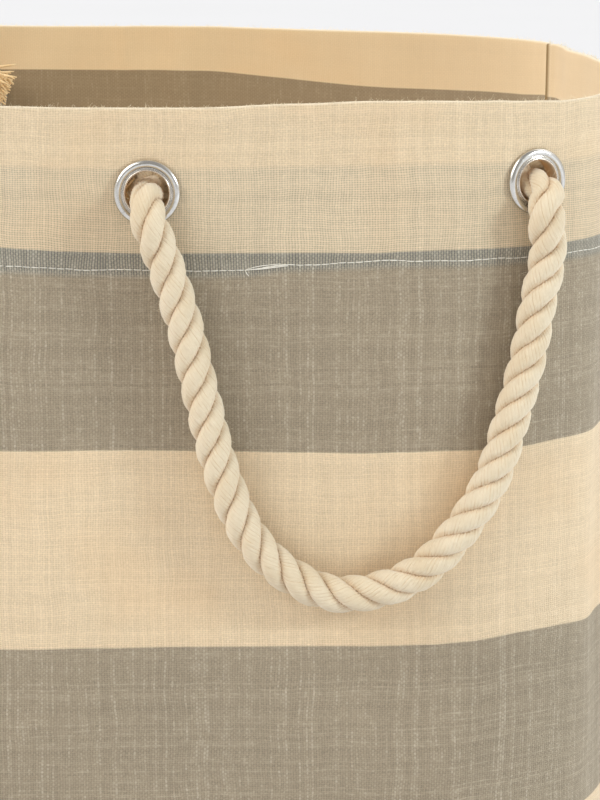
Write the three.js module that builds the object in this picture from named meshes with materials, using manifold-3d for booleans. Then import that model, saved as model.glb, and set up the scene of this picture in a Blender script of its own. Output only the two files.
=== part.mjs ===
// Soft standing laundry bag of striped canvas, with two rope handles through metal eyelets.
// Millimetres, +Z up, base underside at z = 0, front handle towards -Y.
// The bag is the same after half a turn about +Z, so one half of each pair is built and the other is turned.
import * as THREE from "three";
import { mergeVertices } from "three/addons/utils/BufferGeometryUtils.js";
import Module from "manifold-3d";

// ---- driving dimensions ----
const HEIGHT = 500; // floor to rim fold
const FABRIC = 0.7; // canvas thickness
const HEM_GAP = 0.4; // air between wall and turned-in hem
const HEM_DEPTH = 59.5; // rim fold to the hem's raw edge
const CLEAR = 0.3; // gap between neighbouring parts

// Half of the rim's outline, seen from above: the other half is the same points turned by 180 degrees.
const HALF_RIM = [
  [-5, -157],
  [52, -157],
  [107, -156],
  [157, -154],
  [194, -130.5],
  [210.5, -84],
  [213, -28],
  [205, 32],
  [194, 80],
  [159, 112],
  [109, 135],
  [55, 151],
];
const BASE_HALF_WIDTH = 213; // the base outline is a superellipse of the same girth
const BASE_HALF_DEPTH = 157;
const BASE_POWER = 3.05;
const BLEND_TOP = 285; // above this height the wall has the rim's outline
const BLEND_BOTTOM = 15; // below this height it has the base's outline

const LEFT_EYELET = [48.3, 470]; // distance along the rim from the first outline point, height
const RIGHT_EYELET = [182.5, 472.5];
const SEAM_AT = 412; // right side seam, distance along the rim

const EYELET_OD = 22.3;
const EYELET_HOLE = 15;
const EYELET_FLANGE = 1.7; // how far the flange stands off the cloth
const BARREL_WALL = 0.8;
const WASHER_OD = 23.5;
const ROPE = 12; // rope diameter
const PIVOT_OFF = 9.6; // rope centreline to the wall where the handle turns

const BASE_THICK = 1.6;
const BINDING_HEIGHT = 9;
const BINDING_THICK = 1.4;
const SEAM_WIDTH = 9; // seam allowances inside the side seams
const SEAM_THICK = 1.6;
const SEAM_ROOM = 0.4; // further gap, because the wall bows across the seam allowances

const STATIONS = 84; // wall segments round the bag
const WALL_ROWS = [15, 60, 110, 160, 210, 265]; // heights at which the wall's outline is set
const ROUND = 24; // segments round an eyelet

const BEIGE = 0xe8cfa8;
const TAUPE = 0x9a8b72;
const METAL = 0xc9c6c0;
const COTTON = 0xe6d8ba;

const wasm = await Module();
wasm.setup();

// ---- outlines ----
const turned = ([x, y]) => [-x, -y];
const rimPoints = [...HALF_RIM, ...HALF_RIM.map(turned)];

// Uniform closed Catmull-Rom curve through the rim's points, u from 0 to 1.
function rimCurve(u) {
  const n = rimPoints.length;
  const at = (((u % 1) + 1) % 1) * n;
  const i = Math.floor(at);
  const t = at - i;
  const p = [-1, 0, 1, 2].map((k) => rimPoints[(i + k + n) % n]);
  return [0, 1].map((c) => {
    const [a, b, d, e] = p.map((q) => q[c]);
    return 0.5 * (2 * b + (d - a) * t + (2 * a - 5 * b + 4 * d - e) * t * t + (3 * b - a - 3 * d + e) * t ** 3);
  });
}

// Superellipse that starts in the same direction from the centre as the rim does.
const startAngle = Math.atan2(HALF_RIM[0][1], HALF_RIM[0][0]);
function baseCurve(u) {
  const angle = startAngle + 2 * Math.PI * u;
  const c = Math.cos(angle) / BASE_HALF_WIDTH;
  const s = Math.sin(angle) / BASE_HALF_DEPTH;
  const r = (Math.abs(c) ** BASE_POWER + Math.abs(s) ** BASE_POWER) ** (-1 / BASE_POWER);
  return [r * Math.cos(angle), r * Math.sin(angle)];
}

// Re-reads a closed curve by the distance along it: {girth, at(share of the girth)}.
function byLength(curve, steps = 1440) {
  const run = [0];
  let last = curve(0);
  for (let i = 1; i <= steps; i++) {
    const next = curve(i / steps);
    run.push(run[i - 1] + Math.hypot(next[0] - last[0], next[1] - last[1]));
    last = next;
  }
  const girth = run[steps];
  const at = (share) => {
    const want = (((share % 1) + 1) % 1) * girth;
    let low = 0;
    let high = steps;
    while (high - low > 1) {
      const middle = (low + high) >> 1;
      if (run[middle] <= want) low = middle;
      else high = middle;
    }
    return curve((low + (want - run[low]) / (run[high] - run[low])) / steps);
  };
  return { girth, at };
}
const rim = byLength(rimCurve);
const base = byLength(baseCurve);
const GIRTH = rim.girth;

const smooth = (t) => {
  const c = Math.min(1, Math.max(0, t));
  return c * c * (3 - 2 * c);
};

// Outer face of the wall at distance s along the rim and height z.
function outline(s, z) {
  const w = smooth((z - BLEND_BOTTOM) / (BLEND_TOP - BLEND_BOTTOM));
  const a = base.at(s / GIRTH);
  const b = rim.at(s / GIRTH);
  return [a[0] + (b[0] - a[0]) * w, a[1] + (b[1] - a[1]) * w];
}

// Outward horizontal normal there.
function outward(s, z) {
  const a = outline(s - 2, z);
  const b = outline(s + 2, z);
  const length = Math.hypot(b[0] - a[0], b[1] - a[1]);
  return [(b[1] - a[1]) / length, -(b[0] - a[0]) / length];
}

// A point off the wall: positive off is outside the bag.
function offWall(s, z, off) {
  const [x, y] = outline(s, z);
  const [nx, ny] = outward(s, z);
  return new THREE.Vector3(x + nx * off, y + ny * off, z);
}

// ---- lofts ----
function geometryOf(points, triangles) {
  const g = new THREE.BufferGeometry();
  g.setAttribute("position", new THREE.Float32BufferAttribute(points.flatMap((p) => [p.x, p.y, p.z]), 3));
  g.setIndex(triangles.flat());
  g.computeVertexNormals();
  return g;
}

// Closes a swept profile's end row by row, because the end of a wall that leans isn't flat.
// The first and last `rows` points of the profile are at the same heights, and what is between them is a flat fold.
function endCap(profile, rows) {
  const m = profile.length;
  const polygons = [];
  for (let k = 0; k < rows - 1; k++) polygons.push([k, k + 1, m - 2 - k, m - 1 - k]);
  if (m > 2 * rows) polygons.push(profile.map((_, i) => i).slice(rows - 1, m - rows + 1));
  return polygons.flatMap((polygon) => {
    const flat = polygon.map((i) => new THREE.Vector2(...profile[i]));
    return THREE.ShapeUtils.triangulateShape(flat, []).map((corners) => corners.map((c) => polygon[c]));
  });
}

// Sweeps a closed profile of [off, z] points along the wall from s0 to s1. A full turn closes on itself.
function sweepAlongWall({ profile, rows: paired }, s0, s1, steps) {
  const whole = Math.abs(s1 - s0 - GIRTH) < 1e-6;
  const rows = whole ? steps : steps + 1;
  const m = profile.length;
  const points = [];
  for (let i = 0; i < rows; i++) {
    const s = s0 + ((s1 - s0) * i) / steps;
    for (const [off, z] of profile) points.push(offWall(s, z, off));
  }
  const triangles = [];
  for (let i = 0; i < steps; i++) {
    for (let j = 0; j < m; j++) {
      const a = i * m + j;
      const b = i * m + ((j + 1) % m);
      const c = ((i + 1) % rows) * m + j;
      const d = ((i + 1) % rows) * m + ((j + 1) % m);
      triangles.push([a, c, b], [b, c, d]);
    }
  }
  if (!whole) {
    const last = (rows - 1) * m;
    for (const [a, b, c] of endCap(profile, paired)) {
      triangles.push([a, b, c], [last + a, last + c, last + b]);
    }
  }
  return geometryOf(points, triangles);
}

// Folded wall section, anticlockwise: up the outside, over the rim fold, down the hem, and back up the inside.
function wallProfile(bottom) {
  const heights = [bottom, ...WALL_ROWS, HEIGHT - HEM_DEPTH];
  const middle = -(FABRIC + HEM_GAP / 2);
  const outerRadius = FABRIC + HEM_GAP / 2;
  const innerRadius = HEM_GAP / 2;
  const foldZ = HEIGHT - outerRadius;
  const profile = heights.map((z) => [0, z]);
  for (let k = 0; k <= 4; k++) {
    const a = (Math.PI * k) / 4;
    profile.push([middle + outerRadius * Math.cos(a), foldZ + outerRadius * Math.sin(a)]);
  }
  profile.push([middle - outerRadius, HEIGHT - HEM_DEPTH]);
  profile.push([middle - innerRadius, HEIGHT - HEM_DEPTH]);
  for (let k = 2; k >= 0; k--) {
    const a = (Math.PI * k) / 2;
    profile.push([middle + innerRadius * Math.cos(a), foldZ + innerRadius * Math.sin(a)]);
  }
  for (const z of heights.toReversed()) profile.push([-FABRIC, z]);
  return { profile, rows: heights.length };
}

// ---- solids for cutting and joining ----
function solidOf(geometry) {
  const bare = geometry.clone();
  bare.deleteAttribute("normal");
  bare.deleteAttribute("uv");
  const closed = mergeVertices(bare, 1e-4);
  return new wasm.Manifold(
    new wasm.Mesh({
      numProp: 3,
      vertProperties: new Float32Array(closed.getAttribute("position").array),
      triVerts: new Uint32Array(closed.index.array),
    }),
  );
}
function meshGeometry(solid) {
  const m = solid.getMesh();
  const g = new THREE.BufferGeometry();
  g.setAttribute("position", new THREE.Float32BufferAttribute(Float32Array.from(m.vertProperties), 3));
  g.setIndex(Array.from(m.triVerts));
  g.computeVertexNormals();
  return g;
}

// ---- frames at the eyelets ----
// +Z of the frame points out of the bag, +Y is up.
function eyeletFrame([s, z]) {
  const [nx, ny] = outward(s, z);
  const out = new THREE.Vector3(nx, ny, 0);
  const up = new THREE.Vector3(0, 0, 1);
  const side = new THREE.Vector3().crossVectors(up, out);
  return new THREE.Matrix4().makeBasis(side, up, out).setPosition(offWall(s, z, 0));
}
const HALF_TURN = new THREE.Matrix4().makeRotationZ(Math.PI);
const frontEyelets = { left: eyeletFrame(LEFT_EYELET), right: eyeletFrame(RIGHT_EYELET) };
const hemThickness = 2 * FABRIC + HEM_GAP;
const bow = 1.4; // how far the curved wall bows inwards across a washer

// ---- materials ----
const material = (colour, roughness, metalness) =>
  new THREE.MeshStandardMaterial({ color: colour, roughness, metalness });

const bag = new THREE.Group();
bag.name = "laundry_bag";
function add(name, geometry, look, matrix) {
  const mesh = new THREE.Mesh(geometry, look);
  mesh.name = name;
  if (matrix) mesh.applyMatrix4(matrix);
  bag.add(mesh);
}

// ---- wall panels ----
const BARREL_OD = EYELET_HOLE + 2 * BARREL_WALL;
const holeRadius = BARREL_OD / 2 + CLEAR;
const holeCutters = Object.values(frontEyelets).map((frame) =>
  solidOf(new THREE.CylinderGeometry(holeRadius, holeRadius, 30, ROUND).rotateX(Math.PI / 2).applyMatrix4(frame)),
);
const seamGap = CLEAR / 2;
const panelStart = SEAM_AT - GIRTH / 2 + seamGap;
const panelEnd = SEAM_AT - seamGap;
const uncut = sweepAlongWall(wallProfile(BASE_THICK + CLEAR), panelStart, panelEnd, STATIONS / 2);
const panel = meshGeometry(holeCutters.reduce((solid, cutter) => solid.subtract(cutter), solidOf(uncut)));
add("front_panel", panel, material(BEIGE, 0.9, 0));
add("back_panel", panel.clone(), material(BEIGE, 0.9, 0), HALF_TURN);

// ---- base, binding and seam allowances ----
const basePoints = Array.from({ length: STATIONS }, (_, i) => outline((GIRTH * i) / STATIONS, 0));
const baseShape = new THREE.Shape(basePoints.map(([x, y]) => new THREE.Vector2(x, y)));
add(
  "base_panel",
  new THREE.ExtrudeGeometry(baseShape, { depth: BASE_THICK, bevelEnabled: false, steps: 1 }),
  material(TAUPE, 0.95, 0),
);

function strip(inner, thick, low, high) {
  const heights = [low, ...WALL_ROWS.filter((z) => z > low && z < high), high];
  const back = heights.toReversed();
  return { profile: [...heights.map((z) => [-inner, z]), ...back.map((z) => [-inner - thick, z])], rows: heights.length };
}
const besideWall = FABRIC + CLEAR;
const bindingLow = BASE_THICK + CLEAR;
add(
  "base_binding",
  sweepAlongWall(strip(besideWall, BINDING_THICK, bindingLow, bindingLow + BINDING_HEIGHT), 0, GIRTH, STATIONS),
  material(BEIGE, 0.9, 0),
);
const seamLow = bindingLow + BINDING_HEIGHT + CLEAR;
const seamHigh = HEIGHT - HEM_DEPTH - CLEAR;
const seam = sweepAlongWall(
  strip(besideWall + SEAM_ROOM, SEAM_THICK, seamLow, seamHigh),
  SEAM_AT - SEAM_WIDTH / 2,
  SEAM_AT + SEAM_WIDTH / 2,
  2,
);
add("right_side_seam", seam, material(BEIGE, 0.9, 0));
add("left_side_seam", seam.clone(), material(BEIGE, 0.9, 0), HALF_TURN);

// ---- eyelets and washers ----
// Flange and barrel in one lathe profile of [radius, height] about the hole's axis, which closes on itself.
function ring(profile) {
  const g = new THREE.LatheGeometry(
    [...profile, profile[0]].map(([r, h]) => new THREE.Vector2(r, h)),
    ROUND,
  );
  return g.rotateX(Math.PI / 2);
}
const washerBack = -(hemThickness + CLEAR + bow);
const barrelEnd = washerBack - 1.6;
const eyeletRing = ring([
  [EYELET_OD / 2, CLEAR],
  [EYELET_OD / 2, CLEAR + 0.6],
  [EYELET_OD / 2 - 1, CLEAR + EYELET_FLANGE * 0.85],
  [EYELET_OD / 2 - 2, CLEAR + EYELET_FLANGE],
  [EYELET_HOLE / 2 + 0.8, CLEAR + EYELET_FLANGE * 0.9],
  [EYELET_HOLE / 2, CLEAR + 0.5],
  [EYELET_HOLE / 2, barrelEnd],
  [EYELET_HOLE / 2 + BARREL_WALL, barrelEnd],
  [EYELET_HOLE / 2 + BARREL_WALL, CLEAR],
]);
const washerHole = EYELET_HOLE / 2 + BARREL_WALL + CLEAR;
const washerRing = ring([
  [WASHER_OD / 2, washerBack],
  [washerHole, washerBack],
  [washerHole, washerBack - 0.9],
  [WASHER_OD / 2 - 0.6, washerBack - 0.9],
  [WASHER_OD / 2, washerBack - 0.5],
]);

// ---- knots: the rope's fixed end through the barrel, the knot behind the washer, and its frayed tail ----
const KNOT_RADIUS = 15;
const knotCentre = barrelEnd - 1 - KNOT_RADIUS * 0.72;
const STUB_OUT = 2.4; // how far the fixed end stands out of the wall, just short of the turning rope
const TAIL = 36;
function knotGeometry() {
  const stubLength = STUB_OUT - knotCentre;
  const stub = new THREE.CylinderGeometry(ROPE / 2 - 0.1, ROPE / 2 - 0.1, stubLength, 14)
    .rotateX(Math.PI / 2)
    .translate(0, 0, knotCentre + stubLength / 2);
  const body = new THREE.SphereGeometry(KNOT_RADIUS, 14, 8).scale(1, 1.05, 0.72).translate(0, 0, knotCentre);
  const tail = new THREE.CylinderGeometry(ROPE / 2, ROPE / 2 + 3.2, TAIL, 12).translate(0, -8 - TAIL / 2, knotCentre - 3);
  return meshGeometry(solidOf(stub).add(solidOf(body)).add(solidOf(tail)));
}
const knot = knotGeometry();

for (const [side, frame] of Object.entries(frontEyelets)) {
  for (const [place, matrix] of [
    ["front", frame],
    ["back", HALF_TURN.clone().multiply(frame)],
  ]) {
    add(`${place}_${side}_eyelet`, eyeletRing.clone(), material(METAL, 0.25, 1), matrix);
    add(`${place}_${side}_washer`, washerRing.clone(), material(METAL, 0.3, 1), matrix);
    add(`${place}_${side}_knot`, knot.clone(), material(COTTON, 0.95, 0), matrix);
  }
}

// ---- handle ropes ----
// The hanging loop in the wall's own terms: [distance from the left eyelet, drop below it, centreline off the wall].
const LOOP = [
  [1, 9, 8.8],
  [5.3, 21, 7.9],
  [12.2, 43, 7.6],
  [18.4, 70, 7.6],
  [25.4, 97, 7.6],
  [33.9, 117, 7.6],
  [45, 130.5, 7.6],
  [62, 138, 7.6],
  [80, 136.6, 7.6],
  [94, 129.5, 7.6],
  [107, 115, 7.6],
  [116, 98, 7.6],
  [120.4, 78, 7.8],
  [123.5, 57, 8],
  [126.3, 38, 8.2],
  [130.2, 21, 8.6],
  [132.2, 7, 9.2],
];
const leftPivot = offWall(...LEFT_EYELET, PIVOT_OFF);
const rightPivot = offWall(...RIGHT_EYELET, PIVOT_OFF);
const loopPoints = LOOP.map(([along, drop, off]) => offWall(LEFT_EYELET[0] + along, LEFT_EYELET[1] - drop, off));
const ropeLine = new THREE.CatmullRomCurve3([leftPivot, ...loopPoints, rightPivot], false, "centripetal");

// A round tube along the line, with a ball about each pivot, so that the loop turns on the spot.
function ropeGeometry(line, radius, steps, sides) {
  const section = new THREE.Shape(
    Array.from({ length: sides }, (_, k) => {
      const a = (2 * Math.PI * k) / sides;
      return new THREE.Vector2(radius * Math.cos(a), radius * Math.sin(a));
    }),
  );
  const tube = new THREE.ExtrudeGeometry(section, { steps, extrudePath: line });
  const balls = [line.getPointAt(0), line.getPointAt(1)].map((p) =>
    solidOf(new THREE.SphereGeometry(radius, 12, 8).translate(p.x, p.y, p.z)),
  );
  return meshGeometry(balls.reduce((whole, ball) => whole.add(ball), solidOf(tube)));
}
const rope = ropeGeometry(ropeLine, ROPE / 2, 26, 10);
add("front_handle_rope", rope, material(COTTON, 0.95, 0));
add("back_handle_rope", rope.clone(), material(COTTON, 0.95, 0), HALF_TURN);

export default bag;
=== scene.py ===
import math
import random

import bpy
import numpy as np
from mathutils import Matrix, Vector, noise


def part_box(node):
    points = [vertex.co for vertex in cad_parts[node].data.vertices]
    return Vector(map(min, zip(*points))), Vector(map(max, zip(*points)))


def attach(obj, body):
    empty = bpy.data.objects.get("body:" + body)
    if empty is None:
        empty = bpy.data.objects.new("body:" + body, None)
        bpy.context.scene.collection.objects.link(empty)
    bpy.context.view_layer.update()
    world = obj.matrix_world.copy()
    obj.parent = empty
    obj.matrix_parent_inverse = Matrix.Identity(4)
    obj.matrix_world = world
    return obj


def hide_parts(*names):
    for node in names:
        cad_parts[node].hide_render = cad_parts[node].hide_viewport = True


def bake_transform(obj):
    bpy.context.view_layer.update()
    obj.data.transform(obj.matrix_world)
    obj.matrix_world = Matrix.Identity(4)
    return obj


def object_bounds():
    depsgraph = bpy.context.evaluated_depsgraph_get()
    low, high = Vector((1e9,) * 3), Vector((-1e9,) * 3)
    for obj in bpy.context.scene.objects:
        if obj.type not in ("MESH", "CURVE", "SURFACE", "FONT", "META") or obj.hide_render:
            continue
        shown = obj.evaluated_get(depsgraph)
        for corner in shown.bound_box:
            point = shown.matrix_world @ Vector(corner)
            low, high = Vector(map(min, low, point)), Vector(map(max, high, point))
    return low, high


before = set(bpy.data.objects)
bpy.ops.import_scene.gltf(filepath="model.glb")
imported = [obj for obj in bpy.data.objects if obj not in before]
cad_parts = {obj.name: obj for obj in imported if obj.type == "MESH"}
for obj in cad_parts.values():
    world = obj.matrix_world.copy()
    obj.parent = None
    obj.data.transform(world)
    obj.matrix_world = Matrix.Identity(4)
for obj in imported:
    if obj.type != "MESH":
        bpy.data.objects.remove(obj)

CAD_BOX = [list(corner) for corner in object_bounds()]
RANDOM = random.Random(7)
MM = 0.001

# ---- sizes, in metres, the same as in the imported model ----
HEIGHT = CAD_BOX[1][2]
FABRIC = 0.7 * MM
HEM_GAP = 0.4 * MM
HEM_DEPTH = 59.5 * MM
BASE_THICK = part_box("base_panel")[1][2]
HALF_RIM = np.array([
    (-5, -157), (52, -157), (107, -156), (157, -154), (194, -130.5), (210.5, -84),
    (213, -28), (205, 32), (194, 80), (159, 112), (109, 135), (55, 151),
]) * MM
BASE_HALF = np.array([213, 157]) * MM
BASE_POWER = 3.05
BLEND_LOW, BLEND_HIGH = 15 * MM, 285 * MM
LEFT_EYELET = (48.3 * MM, 470 * MM)
RIGHT_EYELET = (182.5 * MM, 472.5 * MM)
SEAM_AT = 412 * MM
ROPE = 12 * MM
LAY = 30.5 * MM
# The hanging loop: distance from the left eyelet, drop below it, centreline off the wall, in millimetres.
LOOP = [
    (1, 9, 8.8), (5.3, 21, 7.9), (12.2, 43, 7.6), (18.4, 70, 7.6), (25.4, 97, 7.6), (33.9, 117, 7.6),
    (45, 129.5, 7.6), (62, 138, 7.6), (80, 136.6, 7.6), (94, 129.5, 7.6), (106.4, 115, 7.6),
    (115.6, 98, 7.6), (121.8, 78, 7.8), (127.2, 57, 8), (130.6, 38, 8.2), (133.6, 21, 8.6), (132.4, 7, 9.2),
]
# The rope through the eyelet, from the knot outwards: centreline off the wall, and above the eyelet's centre.
THROUGH = [(-13, 0), (-9, -0.6), (-5, -1.2), (-1, -1.3), (3, -1.7), (6.6, -4)]

# ---- stripes, measured up the cloth from the floor, over the rim fold and down the turned-in hem ----
STRIPE = 70 * MM
STRIPE_EDGE = HEIGHT - 49.5 * MM
HEM_STRIPE_END = HEIGHT - 20.5 * MM
WARP_PITCH = 0.92 * MM
WEFT_PITCH = 0.745 * MM


# ---- outlines ----
RIM_POINTS = np.vstack([HALF_RIM, -HALF_RIM])


def rim_curve(u):
    """The rim's outline at shares u of its points: a uniform closed Catmull-Rom curve."""
    n = len(RIM_POINTS)
    at = np.mod(u, 1) * n
    i = np.floor(at).astype(int)
    t = (at - i)[:, None]
    a, b, d, e = (RIM_POINTS[(i + k) % n] for k in (-1, 0, 1, 2))
    return 0.5 * (2 * b + (d - a) * t + (2 * a - 5 * b + 4 * d - e) * t**2 + (3 * b - a - 3 * d + e) * t**3)


def base_curve(u):
    """The base's outline: a superellipse that starts in the same direction as the rim does."""
    angle = math.atan2(HALF_RIM[0][1], HALF_RIM[0][0]) + 2 * math.pi * u
    way = np.stack([np.cos(angle), np.sin(angle)], 1)
    radius = (np.abs(way / BASE_HALF) ** BASE_POWER).sum(1) ** (-1 / BASE_POWER)
    return way * radius[:, None]


def run_along(points):
    """The distance along a line at each of its points."""
    return np.concatenate([[0], np.cumsum(np.linalg.norm(np.diff(points, axis=0), axis=1))])


def by_length(curve, steps=2880):
    """The curve's girth, and a function that reads it by the share of that girth."""
    u = np.linspace(0, 1, steps + 1)
    points = curve(u)
    run = run_along(points)
    return run[-1], lambda share: curve(np.interp(np.mod(share, 1) * run[-1], run, u))


GIRTH, rim_at = by_length(rim_curve)
base_at = by_length(base_curve)[1]
SEAMS = (SEAM_AT, SEAM_AT + GIRTH / 2)


def smooth(t):
    t = np.clip(t, 0, 1)
    return t * t * (3 - 2 * t)


def bump(x, width):
    """1 at 0, falling smoothly to 0 at plus and minus width."""
    return smooth(1 - np.abs(x) / width)


def around(s, centre):
    """Signed distance along the rim from centre, the shorter way round."""
    return np.mod(s - centre + GIRTH / 2, GIRTH) - GIRTH / 2


def outline(s, z):
    w = smooth((z - BLEND_LOW) / (BLEND_HIGH - BLEND_LOW))[:, None]
    return base_at(s / GIRTH) * (1 - w) + rim_at(s / GIRTH) * w


def outward(s, z):
    step = 2 * MM
    t = outline(s + step, z) - outline(s - step, z)
    t /= np.linalg.norm(t, axis=1)[:, None]
    return np.stack([t[:, 1], -t[:, 0]], 1)


def off_wall(s, z, off):
    """Points off the plain wall at distances s along the rim: positive off is outside the bag."""
    s, z, off = (np.atleast_1d(a).astype(float) for a in np.broadcast_arrays(s, z, off))
    xy = outline(s, z) + outward(s, z) * off[:, None]
    return np.column_stack([xy, z])


# ---- how the cloth departs from the plain wall ----
def soft_noise(s, z, scale, seed):
    """Smooth noise from -1 to 1 that closes round the bag."""
    ring = GIRTH / (2 * math.pi)
    angle = s / ring
    points = np.column_stack([np.cos(angle) * ring, np.sin(angle) * ring, z]) / scale + seed * 17.3
    return np.array([noise.noise(Vector(p)) for p in points])


def along_girth(s, points):
    """A smooth value round the bag through (distance along the rim, value) pairs in millimetres."""
    at, value = np.array(points, float).T * MM
    at = np.concatenate([[at[0] - 60 * MM], at, [at[-1] + 60 * MM]])
    value = np.concatenate([[0], value, [0]])
    turned_s = np.mod(s - at[0], GIRTH) + at[0]
    k = np.clip(np.searchsorted(at, turned_s) - 1, 0, len(at) - 2)
    share = smooth((turned_s - at[k]) / (at[k + 1] - at[k]))
    return value[k] * (1 - share) + value[k + 1] * share


# How far the rim fold rises and falls, and how far the raw edge of the hem lies above its depth.
RIM_WAVE = [
    (-4, -0.7), (25, -1.2), (65, -1.3), (100, 0.0), (125, 0.9), (145, 1.0), (165, 0.7), (180, 0.1),
    (195, -0.6),
]
HEM_WAVE = [
    (-150, 1.5), (0, 2.1), (27, 1.1), (60, 0.6), (80, 0.7), (97, 2.6), (137, 4.0), (178, 4.0), (260, 2.6),
    (400, 3.0), (560, 0.9), (740, 2.9), (960, 1.2),
]
# The back panel's fold is a little askew, so its stripes sit higher or lower than the front's.
BACK_SKEW = [(414, -2.0), (435, -3.2), (495, -3.7), (590, 1.0), (720, 0.9), (900, 0.3)]
# How far the front's stripe edges sag below level (or rise above it, where negative), for each edge's height.
STRIPE_SAG = {
    170: [(0, 0)],
    240: [(140, 0), (185, -3.0), (212, -2.6), (240, -1)],
    310: [
        (-30, 0.4), (0, 0.6), (30, 0), (60, -0.5), (120, -0.4), (145, -1.0), (157, -1.7), (180, -3.4),
        (192, -3.4), (225, -1),
    ],
    380: [
        (0, 0.1), (40, -0.4), (75, 0.1), (100, 0.6), (120, 0.9), (135, 0.5), (150, 0.1), (175, 0.3),
        (195, -0.7), (225, -0.3),
    ],
    450: [(-4, -0.95), (8, -0.3), (20, 0.4), (32, 0.75), (45, 1.1), (125, 1.1), (137, 0.5), (152, 0)],
    500: [(0, 0)],
}


def rim_lift(s, z):
    """The rim fold wavers up and down by about a millimetre."""
    ripple = 0.3 * MM * np.sin(2 * math.pi * 11 * s / GIRTH + 1) * bump(around(s, 0.75), 0.4)
    return (along_girth(s, RIM_WAVE) + ripple) * smooth((z - 452 * MM) / (HEIGHT - 452 * MM))


def stripe_sag(s, z):
    """How far the stripes lie below level."""
    heights = np.array(list(STRIPE_SAG)) * MM
    sags = np.array([along_girth(s, points) for points in STRIPE_SAG.values()])
    k = np.clip(np.searchsorted(heights, z) - 1, 0, len(heights) - 2)
    share = smooth((z - heights[k]) / (heights[k + 1] - heights[k]))
    column = np.arange(len(s))
    return sags[k, column] * (1 - share) + sags[k + 1, column] * share


# Soft folds: distance along the rim, height, half width, half height and depth, in millimetres.
SOFT_FOLDS = [
    (398, 470, 16, 90, 0.5), (382, 455, 18, 110, -1.2), (360, 470, 20, 100, 0.8),
    (619, 500, 4.5, 40, -1.3), (594, 470, 11, 80, -1.3), (578, 480, 12, 80, 1.1),
    (560, 460, 16, 90, -0.8), (700, 470, 20, 90, -1.2), (232, 330, 26, 150, -3.0),
    (262, 250, 20, 170, 2.4), (352, 210, 30, 140, -3.2), (330, 380, 18, 120, 1.4),
    (865, 330, 26, 150, -3.0), (895, 250, 20, 170, 2.4), (985, 210, 30, 140, -3.2),
    (1180, 190, 60, 120, -2.6),
    (545, 190, 60, 120, -2.6), (30, 120, 90, 90, -2.2), (660, 120, 90, 90, -2.2),
]


def relief(s, z):
    """How far the cloth stands off the plain wall: low buckles, hem pucker, dimples at eyelets and seams."""
    low = smooth((330 * MM - z) / (260 * MM))
    foot = smooth(z / (30 * MM))
    r = soft_noise(s, z * 0.55, 90 * MM, 1) * (0.5 + 4.2 * low) * foot
    r += soft_noise(s, z * 0.8, 34 * MM, 2) * (0.22 + 1.1 * low) * foot
    r += soft_noise(s, z * 0.35, 17 * MM, 3) * 0.16
    for at, level, wide, tall, depth in SOFT_FOLDS:
        r += depth * bump(around(s, at * MM), wide * MM) * bump(z - level * MM, tall * MM) * foot
    r -= 0.35 * bump(z - (HEIGHT - 56 * MM), 5 * MM)
    for seam in SEAMS:
        r -= 1.5 * bump(around(s, seam), 2.4 * MM)
        r += 0.5 * bump(np.abs(around(s, seam)) - 6 * MM, 5 * MM)
    for side in (0, GIRTH / 2):
        for at, height in (LEFT_EYELET, RIGHT_EYELET):
            reach = np.hypot(around(s, at + side), z - height)
            r -= 0.5 * bump(reach, 22 * MM)
    return r * MM


def cloth(s, height, off, drift=None):
    """Points on the cloth: height is measured on the flat wall, off from its outer face."""
    s, height, off = (np.asarray(a, float).ravel() for a in np.broadcast_arrays(s, height, off))
    z = np.minimum(height, HEIGHT)
    drift = relief(s, z) if drift is None else drift
    points = off_wall(s, z, off + drift)
    points[:, 2] = height + rim_lift(s, z)
    return points


# ---- mesh helpers ----
def mesh_object(name, vertices, faces, material, maps=None, attributes=None):
    """A mesh object. For each vertex, maps hold pairs, kept as UV maps, and attributes hold vectors."""
    mesh = bpy.data.meshes.new(name)
    mesh.from_pydata([tuple(v) for v in vertices], [], [tuple(f) for f in faces])
    mesh.polygons.foreach_set("use_smooth", [True] * len(mesh.polygons))
    loops = np.empty(len(mesh.loops), int)
    mesh.loops.foreach_get("vertex_index", loops)
    for key, values in (maps or {}).items():
        layer = mesh.uv_layers.new(name=key)
        layer.data.foreach_set("uv", np.asarray(values, float)[loops].ravel())
    for key, values in (attributes or {}).items():
        layer = mesh.attributes.new(key, "FLOAT_VECTOR", "POINT")
        layer.data.foreach_set("vector", np.asarray(values, float).ravel())
    mesh.materials.append(material)
    mesh.validate()
    mesh.update()
    thing = bpy.data.objects.new(name, mesh)
    bpy.context.scene.collection.objects.link(thing)
    return thing


def canvas_maps(along_up, over_hem=-20 * MM, facing=0.0, painted_bounce=0.0, fold_highlight_share=0.0):
    """The maps that canvas_material reads."""
    columns = [np.broadcast_to(value, len(along_up)) for value in (over_hem, facing, painted_bounce, fold_highlight_share)]
    return {"cloth": along_up, "layer": np.column_stack(columns[:2]), "look": np.column_stack(columns[2:])}


def grid_faces(rows, columns, first=0, close_rows=False, close_columns=False):
    """Quads over a grid of vertices stored row by row."""
    faces = []
    for i in range(rows if close_rows else rows - 1):
        this, above = first + i * columns, first + (i + 1) % rows * columns
        for j in range(columns if close_columns else columns - 1):
            k = (j + 1) % columns
            faces.append((this + j, this + k, above + k, above + j))
    return faces


def tube_faces(rings, sides, first=0):
    """The faces of a tube of rings, with both its ends closed."""
    last = first + (rings - 1) * sides
    ends = [tuple(range(first, first + sides))[::-1], tuple(range(last, last + sides))]
    return grid_faces(rings, sides, first, close_columns=True) + ends


def on_bag(piece, node=None):
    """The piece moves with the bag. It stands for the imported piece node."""
    if node:
        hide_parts(node)
    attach(piece, "bag")


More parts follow.
